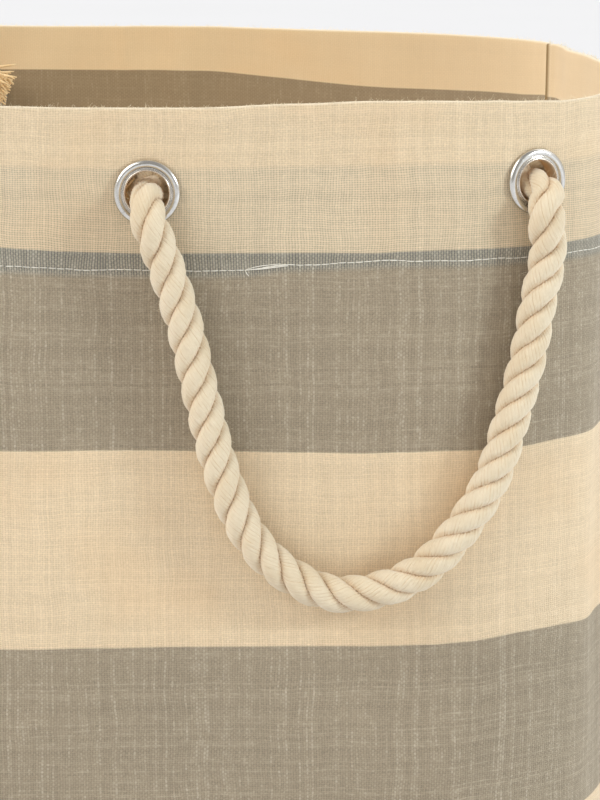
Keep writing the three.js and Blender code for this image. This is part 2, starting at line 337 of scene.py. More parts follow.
def carried_frames(points):
    """Tangents, normals and binormals along a line, with no twist of their own."""
    points = np.asarray(points, float)
    tangents = np.gradient(points, axis=0)
    tangents /= np.linalg.norm(tangents, axis=1)[:, None]
    guess = np.array([0.0, 0, 1]) if abs(tangents[0][2]) < 0.9 else np.array([1.0, 0, 0])
    normals = np.empty_like(points)
    for i, t in enumerate(tangents):
        across = guess - t * (guess @ t)
        guess = across / np.linalg.norm(across)
        normals[i] = guess
    return tangents, normals, np.cross(tangents, normals)


def spline(control, step):
    """A centripetal Catmull-Rom line through the control points, read every step along its length."""
    p = np.asarray(control, float)
    p = np.vstack([2 * p[0] - p[1], p, 2 * p[-1] - p[-2]])
    knots = np.concatenate([[0], np.cumsum(np.linalg.norm(np.diff(p, axis=0), axis=1) ** 0.5)])
    pieces = []
    for i in range(1, len(p) - 2):
        t0, t1, t2, t3 = knots[i - 1 : i + 3]
        t = np.linspace(t1, t2, 24, endpoint=False)[:, None]
        a1 = (t1 - t) / (t1 - t0) * p[i - 1] + (t - t0) / (t1 - t0) * p[i]
        a2 = (t2 - t) / (t2 - t1) * p[i] + (t - t1) / (t2 - t1) * p[i + 1]
        a3 = (t3 - t) / (t3 - t2) * p[i + 1] + (t - t2) / (t3 - t2) * p[i + 2]
        b1 = (t2 - t) / (t2 - t0) * a1 + (t - t0) / (t2 - t0) * a2
        b2 = (t3 - t) / (t3 - t1) * a2 + (t - t1) / (t3 - t1) * a3
        pieces.append((t2 - t) / (t2 - t1) * b1 + (t - t1) / (t2 - t1) * b2)
    dense = np.vstack([*pieces, p[-2]])
    run = run_along(dense)
    want = np.linspace(0, run[-1], max(2, int(round(run[-1] / step)) + 1))
    return np.column_stack([np.interp(want, run, dense[:, k]) for k in range(3)])


def thread(points, radius, sides=6, taper=0.5):
    """Vertices and faces of a thin thread with pointed ends."""
    points = np.asarray(points, float)
    _, normals, binormals = carried_frames(points)
    share = np.clip(np.linspace(0, 1, len(points)), 0.02, 0.98)
    girth = radius * (taper + (1 - taper) * np.sin(math.pi * share) ** 0.4)
    angles = (np.arange(sides) * 2 * math.pi / sides)[None, :, None]
    out = np.cos(angles) * normals[:, None] + np.sin(angles) * binormals[:, None]
    rings = points[:, None] + girth[:, None, None] * out
    return rings.reshape(-1, 3), tube_faces(len(points), sides)


def joined(parts):
    """Many (vertices, faces) pairs as one."""
    vertices, faces, count = [], [], 0
    for v, f in parts:
        vertices.append(v)
        faces += [tuple(i + count for i in face) for face in f]
        count += len(v)
    return np.vstack(vertices), faces


# ---- materials ----
def linear(*colour):
    """An sRGB colour, 0 to 255, as linear light."""
    c = np.array(colour, float) / 255
    return tuple(np.where(c <= 0.04045, c / 12.92, ((c + 0.055) / 1.055) ** 2.4)) + (1.0,)


def operator(operation, swapped=False):
    """A Field's arithmetic operator, which adds the math node it needs."""
    def apply(self, *other):
        return self.nodes.math(operation, *((*other, self) if swapped else (self, *other)))
    return apply


class Field:
    """A value that varies over a surface: a node's output."""

    def __init__(self, nodes, socket):
        self.nodes, self.socket = nodes, socket

    __add__ = __radd__ = operator("ADD")
    __sub__, __rsub__ = operator("SUBTRACT"), operator("SUBTRACT", swapped=True)
    __mul__ = __rmul__ = operator("MULTIPLY")
    __truediv__, __abs__ = operator("DIVIDE"), operator("ABSOLUTE")


class Nodes:
    """A node tree, built from short calls. A value is a number, a colour or a Field."""

    def __init__(self, tree):
        self.tree = tree
        tree.nodes.clear()

    def node(self, kind, inputs=None, output=0, **settings):
        made = self.tree.nodes.new(kind)
        for key, value in settings.items():
            setattr(made, key, value)
        for key, value in (inputs or {}).items():
            if isinstance(value, Field):
                self.tree.links.new(value.socket, made.inputs[key])
            elif value is not None:
                made.inputs[key].default_value = value
        return Field(self, made.outputs[output]) if made.outputs else None

    def math(self, operation, *values):
        return self.node("ShaderNodeMath", dict(enumerate(values)), operation=operation)

    def ramp(self, value, low, high, out_low=0.0, out_high=1.0):
        """Smooth step from low to high."""
        inputs = {"Value": value, "From Min": low, "From Max": high, "To Min": out_low, "To Max": out_high}
        return self.node("ShaderNodeMapRange", inputs, interpolation_type="SMOOTHSTEP")

    def between(self, value, low, high, soft):
        """1 where value lies between low and high."""
        return self.ramp(value, low - soft, low + soft) * self.ramp(value, high - soft, high + soft, 1.0, 0.0)

    def vector(self, x=0.0, y=0.0, z=0.0):
        return self.node("ShaderNodeCombineXYZ", {"X": x, "Y": y, "Z": z})

    def split(self, vector):
        """A vector's x, y and z."""
        x = self.node("ShaderNodeSeparateXYZ", {0: vector})
        return [Field(self, socket) for socket in x.socket.node.outputs]

    def uv_map(self, name):
        return self.node("ShaderNodeUVMap", uv_map=name)

    def attribute(self, name):
        return self.node("ShaderNodeAttribute", output="Vector", attribute_name=name)

    def coordinates(self, kind="Object"):
        return self.node("ShaderNodeTexCoord", output=kind)

    def noise(self, vector, scale, detail=2.0, roughness=0.5):
        inputs = {"Vector": vector, "Scale": scale, "Detail": detail, "Roughness": roughness}
        return self.node("ShaderNodeTexNoise", inputs, "Fac", noise_dimensions="3D")

    def mix(self, share, a, b, blend="MIX"):
        return self.node("ShaderNodeMix", {0: share, 6: a, 7: b}, 2, data_type="RGBA", blend_type=blend)

    def tinted(self, colour, tint):
        return self.mix(1.0, colour, tint, "MULTIPLY")

    def shade(self, colour, factor):
        """colour times a grey factor."""
        return self.tinted(colour, self.node("ShaderNodeCombineColor", {k: factor for k in range(3)}))

    def bumps(self, height, distance, strength):
        return self.node("ShaderNodeBump", {"Height": height, "Distance": distance, "Strength": strength})


class Recipe(Nodes):
    """A material's node tree."""

    def __init__(self, name):
        self.material = bpy.data.materials.new(name)
        self.material.use_nodes = True
        super().__init__(self.material.node_tree)

    def finish(self, colour, roughness, normal=None, lit_through=None, **more):
        """lit_through is the colour of the light that a thin cloth lets through from behind."""
        inputs = {"Base Color": colour, "Roughness": roughness, "Normal": normal, **more}
        surface = self.node("ShaderNodeBsdfPrincipled", inputs)
        if lit_through is not None:
            glow = self.node("ShaderNodeBsdfTranslucent", {"Color": lit_through})
            surface = self.node("ShaderNodeMixShader", {0: SEE_THROUGH, 1: surface, 2: glow})
        self.node("ShaderNodeOutputMaterial", {"Surface": surface})
        return self.material


# The share of light that passes through the canvas, and the colours of its threads in each stripe.
SEE_THROUGH = 0.12
CREAM_WARP = linear(235, 214, 181)
CREAM_WEFT = linear(231, 208, 173)
TAUPE_WARP = linear(175, 162, 139)
TAUPE_WEFT = linear(159, 143, 120)
SLATE_WARP = linear(190, 180, 160)
SLATE_WEFT = linear(143, 139, 126)
# What shows through the gaps of the weave: painted shade of the dim inside of the bag, and the grey hem cloth
# in shade.
SHADE_BEHIND_CREAM = linear(204, 168, 122)
SHADE_BEHIND_TAUPE = linear(116, 99, 76)
SHADED_HEM_BEHIND_SLATE = linear(98, 97, 91)
SHADED_HEM_BEHIND_CREAM = linear(170, 156, 127)
UNDYED_WARP = linear(222, 214, 198)
UNDYED_WEFT = linear(218, 208, 188)
WARM_PATCH = linear(232, 196, 150)
HEM_HAZE = linear(150, 158, 158)
# A painted highlight along the fold of the rim.
PAINTED_FOLD_HIGHLIGHT = linear(240, 232, 212)
# The colour of the thin dark line along the side seams on the inner face.
SEAM_LINE = linear(138, 106, 50)
# Factors on the cloth's colour: painted warm bounce light and shade on the inner face of the bag, and for
# light that comes through from behind.
CREAM_PAINTED_BOUNCE_TINT = (0.99, 0.93, 0.81, 1.0)
TAUPE_PAINTED_BOUNCE_TINT = (0.84, 0.74, 0.59, 1.0)
LIT_THROUGH = (1.0, 0.88, 0.68, 1.0)


def canvas_material():
    """Open plain weave: natural warps up the bag, dyed wefts round it in broad stripes.

    The map 'cloth' holds metres along and up the cloth. 'layer' holds the height above the hem's raw edge
    where the wall lies over it, and 1 on the turned-in hem. 'look' holds the share of painted warm bounce
    light and shade on the inner face, and 1 for the painted highlight on the fold line."""
    r = Recipe("striped_canvas")
    cloth_map = r.uv_map("cloth")
    along, up, _ = r.split(cloth_map)
    over_hem, facing, _ = r.split(r.uv_map("layer"))
    painted_bounce, fold_highlight_share, _ = r.split(r.uv_map("look"))
    plain = 1.0 - 0.75 * facing
    warp = (along + 3.4 * MM * r.noise(cloth_map, 38.0, 3.0)) / WARP_PITCH
    weft = (up + 3.4 * MM * r.noise(r.vector(up, along, 3.0), 38.0, 3.0)) / WEFT_PITCH
    warp_number, weft_number = r.math("FLOOR", warp), r.math("FLOOR", weft)

    def thread_shade(number, run, seed):
        """A thread's own tone from -0.5 to 0.5, with thicker and thinner lengths along it."""
        own = r.node("ShaderNodeTexWhiteNoise", {"W": number + seed}, noise_dimensions="1D")
        lengths = r.noise(r.vector(3.71 * number, 190.0 * run, seed), 1.0, 3.0, 0.65)
        return 0.35 * (own - 0.5) + (lengths - 0.5)

    warp_shade = thread_shade(warp_number, up, 3.0)
    weft_shade = thread_shade(weft_number, along, 11.0)
    warp_across = abs(r.math("FRACT", warp) - 0.5)
    weft_across = abs(r.math("FRACT", weft) - 0.5)
    off_warp = r.ramp(warp_across - 0.25 * warp_shade, 0.24, 0.40)
    off_weft = r.ramp(weft_across - 0.25 * weft_shade, 0.24, 0.40)
    gap = off_warp * off_weft
    wave = r.math("SINE", warp * math.pi) * r.math("SINE", weft * math.pi)
    warp_high = r.math("COSINE", warp_across * math.pi) * (0.5 + 0.5 * wave)
    weft_high = r.math("COSINE", weft_across * math.pi) * (0.5 - 0.5 * wave)
    high = r.math("MAXIMUM", warp_high, weft_high) - 0.9 * gap
    on_top = r.ramp(warp_high - weft_high, -0.3, 0.3, 0.30, 0.70)
    # Stripes, whose edges wander from thread to thread.
    wander = 1.1 * MM * (r.noise(r.vector(warp_number, 5.0), 1.0) - 0.5)
    waver = 0.9 * MM * (r.noise(r.vector(along, 7.0), 11.0) - 0.5)
    level = up + (wander + waver)
    phase = r.math("FRACT", (level - (STRIPE_EDGE - 20 * STRIPE)) / (2 * STRIPE))
    soft = 0.3 * MM / (2 * STRIPE)
    cream = r.math("MAXIMUM", r.between(phase, 0.0, 0.5, soft), r.ramp(phase, 1 - soft, 1.0))
    above_raw = r.ramp(over_hem + wander, -1.6 * MM, 1.2 * MM)
    show = above_raw * r.ramp(level, HEM_STRIPE_END - 1.6 * MM, HEM_STRIPE_END + 1.4 * MM, 1.0, 0.0)
    slate = show * (1.0 - cream)
    # How strongly the painted shade behind the cloth shows along the lines between the threads.
    weft_lines = off_weft * (show * (0.10 + 0.16 * cream))
    warp_lines = off_warp * (show * (0.52 - 0.34 * cream))
    # Threads. In the grey stripes some lengths of thread are nearly undyed.
    weft_colour = r.mix(cream, r.mix(slate, TAUPE_WEFT, SLATE_WEFT), CREAM_WEFT)
    warp_colour = r.mix(cream, r.mix(slate, TAUPE_WARP, SLATE_WARP), CREAM_WARP)
    undyed = 0.24 - 0.12 * cream
    warp_colour = r.mix(r.ramp(warp_shade, 0.02, 0.30) * undyed, warp_colour, UNDYED_WARP)
    weft_colour = r.mix(r.ramp(weft_shade, 0.04, 0.34, 0.0, 0.6) * undyed, weft_colour, UNDYED_WEFT)
    contrast = plain * (0.50 - 0.22 * cream)
    warp_colour = r.shade(warp_colour, 1.0 + warp_shade * contrast)
    weft_colour = r.shade(weft_colour, 1.0 + weft_shade * contrast)
    colour = r.mix(on_top, weft_colour, warp_colour)
    # Painted shade between the threads, with specks and cloudy patches.
    specks = (r.noise(cloth_map, 1500.0, 2.0) - 0.5) * (0.60 - 0.25 * cream)
    clouds = 0.16 * (r.noise(cloth_map, 22.0, 4.0) - 0.5)
    light = 1.0 + plain * (specks - 0.06 * off_warp - 0.07 * off_weft) + clouds
    colour = r.shade(colour, light)
    warm_patch = cream * r.ramp(r.noise(cloth_map, 17.0, 3.0), 0.45, 0.75, 0.0, 0.30)
    colour = r.mix(warm_patch, colour, WARM_PATCH)
    # Painted shade shows through the gaps: the dim inside of the bag where the wall is single, and the grey
    # hem cloth in shade where it lies under the wall. Grey cloth under cream also tints the threads.
    under_cream = r.mix(show, SHADE_BEHIND_CREAM, SHADED_HEM_BEHIND_CREAM)
    behind = r.mix(cream, r.mix(slate, SHADE_BEHIND_TAUPE, SHADED_HEM_BEHIND_SLATE), under_cream)
    openness = plain * (0.34 + 0.62 * show)
    dark = r.math("MAXIMUM", gap, r.math("MAXIMUM", weft_lines, warp_lines))
    colour = r.mix(dark * openness, colour, behind)
    colour = r.mix(0.08 * (show * cream), colour, HEM_HAZE)
    # The painted warm bounce light and shade on the inner face, the painted highlight along the fold of the
    # rim, and a thin dark line along the side seams on the inner face.
    tint = r.mix(cream, TAUPE_PAINTED_BOUNCE_TINT, CREAM_PAINTED_BOUNCE_TINT)
    colour = r.mix(painted_bounce, colour, r.tinted(colour, tint))
    colour = r.mix(r.ramp(fold_highlight_share, 0.45, 0.75, 0.0, 0.55), colour, PAINTED_FOLD_HIGHLIGHT)
    nearest = abs(along - SEAM_AT)
    for seam in (SEAM_AT - GIRTH / 2, SEAM_AT + GIRTH / 2):
        nearest = r.math("MINIMUM", nearest, abs(along - seam))
    colour = r.mix(facing * r.ramp(nearest, 0.3 * MM, 1.6 * MM, 0.85, 0.0), colour, SEAM_LINE)
    relief_height = plain * (high + 0.35 * r.noise(cloth_map, 2600.0, 2.0))
    normal = r.bumps(relief_height, 0.08 * MM, 0.8)
    lit_through = r.tinted(colour, LIT_THROUGH)
    return r.finish(colour, 0.92, normal, lit_through, **{"Sheen Weight": 0.10, "Sheen Roughness": 0.5})


def rope_material():
    """Cotton rope. In 'yarn', x and y are a point on a circle round the strand and z is metres along it; in
    'place', x is how deep in the groove between strands a point lies, and y is 1 between two yarns."""
    r = Recipe("cotton_rope")
    x, y, z = r.split(r.attribute("yarn"))
    groove, between, _ = r.split(r.attribute("place"))
    stretched = r.vector(x, y, 30.0 * z)
    yarns = r.noise(stretched, 5.0, 3.0, 0.55)
    fibres = r.noise(stretched, 19.0, 3.0, 0.65)
    patch = r.noise(r.coordinates(), 70.0, 3.0)
    colour = r.mix(r.ramp(patch, 0.35, 0.7), linear(224, 207, 178), linear(217, 197, 164))
    # Painted shade in the furrows between yarns.
    line = r.ramp(between, 0.45, 1.0) * r.ramp(yarns, 0.36, 0.60, 0.75, 0.05)
    colour = r.mix(line, colour, linear(200, 168, 126))
    colour = r.mix(r.ramp(fibres, 0.50, 0.78, 0.0, 0.45), colour, linear(250, 241, 220))
    # Painted shade in and beside the grooves between strands: tan beside them, dark brown deep in them.
    painted_groove_shade = r.ramp(groove, 0.10, 0.75) * r.ramp(fibres, 0.34, 0.56, 0.50, 0.08)
    colour = r.mix(painted_groove_shade, colour, linear(208, 168, 122))
    deep = groove + 0.5 * (yarns - 0.5)
    colour = r.mix(r.ramp(deep, 0.92, 1.05, 0.0, 0.70), colour, linear(170, 128, 82))
    normal = r.bumps(yarns + 0.45 * fibres, 0.45 * MM, 0.8)
    return r.finish(colour, 0.9, normal, **{"Sheen Weight": 0.3, "Sheen Roughness": 0.6})


def fibre_material(name, pale, dark):
    """Loose fibres of one tone."""
    r = Recipe(name)
    return r.finish(r.mix(r.noise(r.coordinates(), 300.0), pale, dark), 0.9)


def thread_material():
    """Twisted, slightly glossy sewing thread."""
    r = Recipe("sewing_thread")
    where = r.coordinates()
    colour = r.mix(r.noise(where, 900.0), linear(244, 240, 230), linear(222, 214, 198))
    return r.finish(colour, 0.6, r.bumps(r.noise(where, 5000.0), 0.1 * MM, 0.6))


def nickel_material():
    """Polished nickel with faint rolling marks and a little haze, and a painted tan reflection of the rope
    inside the barrel.
    In the vector 'depth', x is 0 on the face and 1 inside the barrel."""
    r = Recipe("polished_nickel")
    where = r.coordinates()
    inside = r.split(r.attribute("depth"))[0]
    haze = r.noise(where, 700.0, 4.0)
    colour = r.mix(haze, linear(222, 220, 216), linear(198, 195, 189))
    # Inside the barrel, painted reflection of the rope: tan, less metallic and rougher.
    colour = r.mix(inside, colour, linear(228, 190, 142))
    roughness = 0.22 * inside + r.ramp(haze, 0.35, 0.8, 0.17, 0.30)
    normal = r.bumps(r.noise(where, 1500.0, 3.0), 0.02 * MM, 0.4)
    return r.finish(colour, roughness, normal, Metallic=1.0 - 0.7 * inside)


def tape_material():
    """Herringbone cotton tape over the base seam."""
    r = Recipe("binding_tape")
    along, across, _ = r.split(r.uv_map("cloth"))
    fold = r.math("PINGPONG", across, 2 * MM)
    ribs = r.math("SINE", (along + fold) * (2 * math.pi / (0.9 * MM)))
    colour = r.mix(r.ramp(ribs, -1.0, 1.0), linear(206, 182, 142), linear(234, 214, 178))
    return r.finish(colour, 0.9, r.bumps(ribs, 0.12 * MM, 0.8))


CANVAS = canvas_material()
COTTON = rope_material()
THREAD = thread_material()
LINT = fibre_material("cotton_lint", linear(244, 232, 206), linear(234, 214, 178))
# The frayed ends are painted darker and warmer than the rope, for the shade and warm bounce light inside the
# bag.
SHADED_FRAY = fibre_material("frayed_yarn", linear(240, 216, 172), linear(216, 178, 124))
NICKEL = nickel_material()
TAPE = tape_material()


# ---- camera ----
def aim(thing, eye, target):
    thing.location = eye
    thing.rotation_mode = "QUATERNION"
    thing.rotation_quaternion = (Vector(target) - Vector(eye)).to_track_quat("-Z", "Y")


def make_camera():
    """A long lens, a little above the rim and looking down at the front wall."""
    camera = bpy.data.objects.new("camera", bpy.data.cameras.new("camera"))
    camera.data.lens = 144
    camera.data.sensor_width = 36
    camera.data.clip_start, camera.data.clip_end = 0.05, 60
    eye = Vector((0.095, -0.157 - 1.074, HEIGHT + 0.117))
    down = math.radians(11.5)
    aim(camera, eye, eye + Vector((0, math.cos(down), -math.sin(down))))
    bpy.context.scene.collection.objects.link(camera)
    bpy.context.scene.camera = camera


make_camera()


# ---- rope handles ----
STRANDS = 3
PLUMP = 1.08
YARNS = 18
YARN_TURNS = 0.45 / MM
STRAND_POWER = 2.15


def laid_rope(name, line, radius, lay, phase=0.4):
    """A three-strand rope along a line: right-handed lay, plump strands of left-handed yarns.

    Each strand's rings turn with its yarns, so the furrow between two yarns is a line of vertices."""
    line = np.asarray(line, float)
    _, normals, binormals = carried_frames(line)
    run = run_along(line)
    size = np.broadcast_to(np.asarray(radius, float) / 6, run.shape)[:, None]
    out, deep, wide = 2.82 * size, 3.18 * size, 3.72 * size
    sides = YARNS * 3
    yarn_angle = np.arange(sides) * 2 * math.pi / sides
    furrow = np.tile([1.0, 0, 0], YARNS)
    angle = np.mod(yarn_angle - run[:, None] * YARN_TURNS + math.pi, 2 * math.pi) - math.pi
    c, s = np.cos(angle), np.sin(angle)
    plump = (np.abs(c) ** STRAND_POWER + np.abs(s) ** STRAND_POWER) ** (-1 / STRAND_POWER)
    groove = smooth((np.abs(angle) - math.radians(52)) / math.radians(46))
    place = np.stack([groove, np.broadcast_to(furrow, angle.shape), 0 * groove], 2).reshape(-1, 3)
    vertices, faces, yarn = [], [], []
    for k in range(STRANDS):
        theta = (phase + 2 * math.pi * (run / lay + k / STRANDS))[:, None, None]
        radial = np.cos(theta) * normals[:, None] + np.sin(theta) * binormals[:, None]
        tangential = -np.sin(theta) * normals[:, None] + np.cos(theta) * binormals[:, None]
        lumps = [[noise.noise(Vector((d * 140, k * 9.1, m * 3.3))) for m in range(YARNS)] for d in run]
        full = plump * (1 + 0.05 * np.repeat(np.array(lumps), 3, axis=1) - 0.045 * furrow)
        sideways = (wide * full * s)[:, :, None] * tangential
        ring = line[:, None] + (out + deep * full * c)[:, :, None] * radial + sideways
        vertices.append(ring.reshape(-1, 3))
        faces += tube_faces(len(line), sides, k * sides * len(line))
        parts = np.cos(yarn_angle), np.sin(yarn_angle), (run + k * 0.31)[:, None]
        yarn.append(np.stack([np.broadcast_to(part, angle.shape) for part in parts], 2).reshape(-1, 3))
    vectors = {"yarn": np.vstack(yarn), "place": np.tile(place, (STRANDS, 1))}
    return mesh_object(name, np.vstack(vertices), faces, COTTON, attributes=vectors)


def rope_fuzz(name, line, radius, count, seed):
    """Short loose fibres that stand off the rope."""
    dice = np.random.default_rng(seed)
    tangents, normals, binormals = carried_frames(line)
    parts = []
    for _ in range(count):
        i = dice.integers(1, len(line) - 1)
        a = dice.uniform(0, 2 * math.pi)
        out = math.cos(a) * normals[i] + math.sin(a) * binormals[i]
        way = out * dice.uniform(0.25, 1.1)
        way += np.cross(tangents[i], out) * dice.normal(0, 0.8)
        way += tangents[i] * dice.normal(0, 1)
        way /= np.linalg.norm(way)
        curl = dice.normal(0, 0.5, 3)
        length = dice.uniform(0.8, 2.4) * MM
        foot = line[i] + out * (radius - 0.9 * MM)
        points = [foot + (way + curl * t) * length * t for t in (0, 0.35, 0.7, 1)]
        parts.append(thread(points, 0.035 * MM, sides=3))
    return mesh_object(name, *joined(parts), LINT)


def turned(points, half_turn):
    """The back handle is the front one after half a turn about +Z."""
    points = np.asarray(points, float)
    return points * np.array([-1, -1, 1]) if half_turn else points


def handle_route():
    """Control points of the front handle, from the left knot through both eyelets to the right knot."""
    (left, left_up), (right, right_up) = LEFT_EYELET, RIGHT_EYELET
    off, up = np.array(THROUGH).T * MM
    along, drop, loop_off = np.array(LOOP).T * MM
    loop = off_wall(left + along, left_up - drop, loop_off)
    return np.vstack([off_wall(left, left_up + up, off), loop, off_wall(right, right_up + up, off)[::-1]])


ROUTE = handle_route()


def make_handle(place, half_turn):
    route = turned(ROUTE, half_turn)
    line = spline(route, 0.75 * MM)
    holes = [turned(off_wall(*hole, 0)[0], half_turn) for hole in (LEFT_EYELET, RIGHT_EYELET)]
    squeeze = sum(bump(np.linalg.norm(line - hole, axis=1), 15 * MM) for hole in holes)
    rope = laid_rope(f"{place}_rope", line, PLUMP * ROPE / 2 * (1 - 0.15 * squeeze), LAY)
    fuzz = rope_fuzz(f"{place}_rope_fuzz", line, ROPE / 2, 1500, 5)
    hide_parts(f"{place}_handle_rope")
    for piece in (rope, fuzz):
        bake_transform(piece)
    return rope, fuzz, line, holes[0]


HANDLES = {place: make_handle(place, place == "back") for place in ("front", "back")}


# ---- knots and frayed ends ----
def eyelet_place(side, half_turn):
    """Origin on the wall's outer face, and the directions sideways, up and out, of an eyelet."""
    s, z = LEFT_EYELET if side == "left" else RIGHT_EYELET
    origin = turned(off_wall(s, z, 0)[0], half_turn)
    out = turned([*outward(np.array([s]), np.array([z]))[0], 0], half_turn)
    up = np.array([0.0, 0, 1])
    return origin, np.cross(up, out), up, out


def local(place, points):
    """Points in an eyelet's own axes, in millimetres, as points in the bag's frame."""
    origin, side, up, out = place
    p = np.asarray(points, float) * MM
    return origin + p[:, :1] * side + p[:, 1:2] * up + p[:, 2:3] * out


def overhand_line():
    """The middle line of a pulled-up overhand knot behind an eyelet, in the eyelet's own axes.

    The knot sits a little to one side of the hole, and its short cut end points to the other."""
    middle, size, turn = np.array([5.0, -1.5, -15.2]), 3.7, math.radians(112)
    t = np.linspace(0.28, 2 * math.pi - 0.2, 26)
    reach, swing = (2 + np.cos(3 * t)) * size, 2 * t + turn
    knot = np.column_stack([reach * np.cos(swing), reach * np.sin(swing), np.sin(3 * t) * size]) + middle
    start = [(0, -0.6, -8.2), 0.45 * knot[0] + np.array([0, 0, -5.2])]
    tail = knot[-1] + np.array([(-4.2, -0.4, 0.3), (-8.6, -1.4, 0.8), (-11.6, -3.4, 1.2)])
    return np.array([*start, *knot, *tail])


def fray(place, tip, way, count, seed):
    """Loose yarns that splay from the rope's cut end."""
    dice = np.random.default_rng(seed)
    way = way / np.linalg.norm(way)
    side = np.cross(way, [0, 0, 1])
    strands = []
    for _ in range(count):
        radius, angle = 4.9 * math.sqrt(dice.random()), dice.uniform(0, 2 * math.pi)
        spread = radius * (math.cos(angle) * side + math.sin(angle) * np.array([0, 0, 1]))
        p = tip + spread - way * 4
        lean = way + spread * dice.uniform(0.08, 0.26) + dice.normal(0, 0.16, 3)
        length = dice.uniform(8, 13)
        points = []
        for _ in range(8):
            points.append(p)
            p = p + lean / np.linalg.norm(lean) * length / 7
            lean = lean + dice.normal(0, 0.14, 3) + np.array([0, -0.12, 0])
        strands.append(thread(local(place, points), dice.uniform(0.34, 0.62) * MM, sides=6, taper=0.35))
    return joined(strands)


def make_knot(place_name, side, seed):
    place = eyelet_place(side, place_name == "back")
    name = f"{place_name}_{side}"
    middle_line = overhand_line()
    line = spline(local(place, middle_line), 0.75 * MM)
    knot = laid_rope(f"{name}_knot_rope", line, 5.0 * MM, 27 * MM, phase=seed)
    on_bag(knot, f"{name}_knot")
    yarns = fray(place, middle_line[-1], middle_line[-1] - middle_line[-3], 190, seed)
    ends = mesh_object(f"{name}_frayed_end", *yarns, SHADED_FRAY)
    on_bag(ends)
    fuzz = rope_fuzz(f"{name}_knot_fuzz", line, 5.0 * MM, 350, seed)
    on_bag(fuzz)
    return [knot, ends, fuzz]


for place, (rope, fuzz, line, eyelet) in HANDLES.items():
    knots = make_knot(place, "left", len(place)) + make_knot(place, "right", 11 + len(place))


# ---- bag walls ----
def wall_rows():
    """The cloth's rows over the fold and down the hem: height, offset of its middle, length from below."""
    low = np.linspace(BASE_THICK + 0.3 * MM, 430 * MM, 74)
    hem = np.linspace(432 * MM, HEIGHT - 1.6 * MM, 36)
    rows = [(z, -FABRIC / 2, z) for z in np.concatenate([low, hem])]
    radius = (FABRIC + HEM_GAP) / 2
    middle = -FABRIC / 2 - radius
    for k in range(9):
        a = math.pi * k / 8
        top = HEIGHT - FABRIC / 2 - radius + radius * math.sin(a)
        rows.append((top, middle + radius * math.cos(a), HEIGHT + (k - 4) * 0.25 * MM))
    for z in np.linspace(HEIGHT - 3 * MM, HEIGHT - HEM_DEPTH, 26):
        rows.append((z, middle - radius, 2 * HEIGHT - z))
    return np.array(rows)


ROWS = wall_rows()


def make_panel(name, start, skew):
    """One wall panel from seam to seam: a sheet of canvas, folded in at the rim."""
    columns = 260
    s = np.linspace(start + 0.15 * MM, start + GIRTH / 2 - 0.15 * MM, columns)
    grid_s, grid_row = np.meshgrid(s, np.arange(len(ROWS)))
    height, off, up = ROWS[grid_row.ravel()].T
    flat_s = grid_s.ravel()
    drift = relief(flat_s, np.minimum(height, HEIGHT))
    # The hem hangs a little free of the wall, and its raw edge wavers.
    inside = smooth((up - HEIGHT) / HEM_DEPTH)
    off = off - inside * (0.5 + 1.1 * np.abs(soft_noise(flat_s, up, 40 * MM, 8))) * MM
    raw_edge = HEIGHT - HEM_DEPTH + along_girth(flat_s, HEM_WAVE)
    height = height + np.maximum(0, up - HEIGHT) / HEM_DEPTH * (raw_edge - (HEIGHT - HEM_DEPTH))
    points = cloth(flat_s, height, off, drift)
    facing = (up > HEIGHT).astype(float)
    if skew:
        askew = along_girth(flat_s, BACK_SKEW)
    else:
        askew = -2.2 * MM * bump(around(flat_s, SEAM_AT), 90 * MM) * facing
    level = up + stripe_sag(flat_s, np.minimum(up, HEIGHT)) + askew
    over_hem = np.where(facing > 0, 20 * MM, height - raw_edge)
    # Painted warm bounce light and shade on the inner face, strongest on the back panel, and the painted
    # highlight along the fold.
    painted_bounce = facing * (0.30 + 0.70 * bump(around(flat_s, 0.62), 0.30))
    fold_highlight_share = 1 * MM / (np.abs(up - HEIGHT) + 1 * MM)
    maps = canvas_maps(np.column_stack([flat_s, level]), over_hem, facing, painted_bounce, fold_highlight_share)
    panel = mesh_object(name, points, grid_faces(len(ROWS), columns), CANVAS, maps)
    thick = panel.modifiers.new("thickness", "SOLIDIFY")
    thick.thickness = FABRIC
    thick.offset = 0
    apply_modifiers(panel)
    return panel


def apply_modifiers(thing):
    graph = bpy.context.evaluated_depsgraph_get()
    final = thing.evaluated_get(graph)
    mesh = bpy.data.meshes.new_from_object(final, preserve_all_data_layers=True, depsgraph=graph)
    thing.modifiers.clear()
    thing.data = mesh


def punch(thing, place):
    """Cuts the round hole for an eyelet's barrel through the wall and the hem."""
    origin, _, _, out = place
    bpy.ops.mesh.primitive_cylinder_add(vertices=40, radius=8.7 * MM, depth=40 * MM, location=origin)
    cutter = bpy.context.active_object
    cutter.rotation_mode = "QUATERNION"
    cutter.rotation_quaternion = Vector(out).to_track_quat("Z", "Y")
    bpy.context.view_layer.update()
    cut = thing.modifiers.new("hole", "BOOLEAN")
    cut.object = cutter
    cut.operation = "DIFFERENCE"
    cut.solver = "EXACT"
    apply_modifiers(thing)
    bpy.data.objects.remove(cutter)


for place_name, start in (("front", SEAM_AT - GIRTH / 2), ("back", SEAM_AT)):
    panel = make_panel(f"{place_name}_wall", start, skew=place_name == "back")
    for side in ("left", "right"):
        punch(panel, eyelet_place(side, place_name == "back"))
    on_bag(panel, f"{place_name}_panel")


